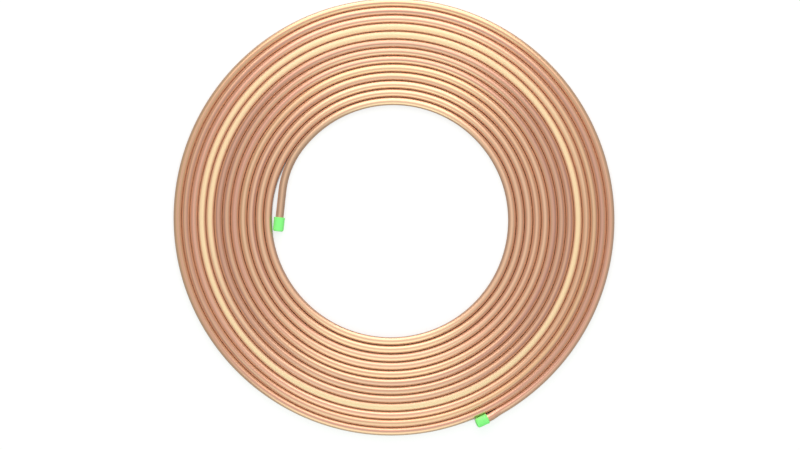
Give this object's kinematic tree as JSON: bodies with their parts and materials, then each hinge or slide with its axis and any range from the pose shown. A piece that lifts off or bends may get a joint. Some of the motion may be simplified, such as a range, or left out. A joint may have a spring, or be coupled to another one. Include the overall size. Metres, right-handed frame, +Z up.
{
  "type": "copper tube coil",
  "caption": "Flat spiral coil of soft copper tube for plumbing or refrigeration lines, lying in one layer, with a push-on plastic cap on each end.",
  "frame": {"origin": "where the winding's axis meets the floor that the coil lies on; a spiral has no exact middle, so its box is centred there within 3 mm", "axes": "+Z up along the winding's axis, +X to the right and +Y to the top of the picture, which looks straight down; the inner end is at -X, and the tube winds outwards clockwise as seen from above"},
  "size_m": [0.5248, 0.52, 0.0157],
  "materials": {
    "copper": null,
    "cap_plastic": "soft moulded plastic in neon green, satin"
  },
  "bodies": {
    "root": {"tube_coil": "copper", "inner_end_cap": "cap_plastic", "outer_end_cap": "cap_plastic"}
  },
  "joints": []
}
